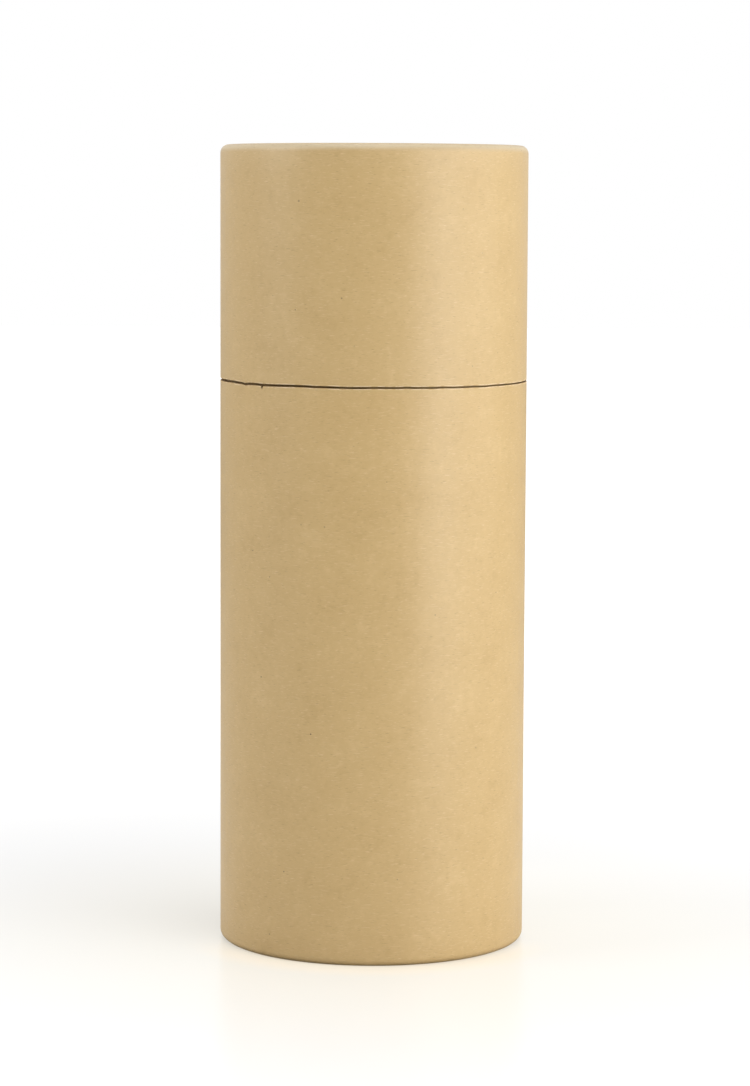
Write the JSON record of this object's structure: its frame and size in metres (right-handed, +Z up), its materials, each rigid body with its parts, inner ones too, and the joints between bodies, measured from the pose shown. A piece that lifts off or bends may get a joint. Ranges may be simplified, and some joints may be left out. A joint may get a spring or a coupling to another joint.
{
  "type": "round cardboard gift box",
  "caption": "Tall round kraft cardboard gift box: wound tube with inward rolled rims, closed by a flush lid that lifts off an inner neck.",
  "frame": {"origin": "centre of the base, on the surface that the box stands on", "axes": "+Z up along the tube's axis, from the base to the lid; the tube is round, so +X and +Y are free, and the wrap's lap is at the back, towards +Y"},
  "size_m": [0.076, 0.076, 0.1979],
  "materials": {
    "body_board": "smooth calendered kraft face, slight sheen",
    "lid_board": "smooth calendered kraft face, slight sheen",
    "neck_board": "plain kraft, matt",
    "disc_board": "plain kraft, matt"
  },
  "bodies": {
    "body": {"body_tube": "body_board", "base_disc": "disc_board", "neck_tube": "neck_board"},
    "lid": {"lid_tube": "lid_board", "lid_disc": "disc_board"}
  },
  "joints": [
    {"name": "lid_lift", "type": "slide", "parent": "body", "child": "lid", "axis": [0, 0, 1], "range_m": [0, 0.11]}
  ]
}
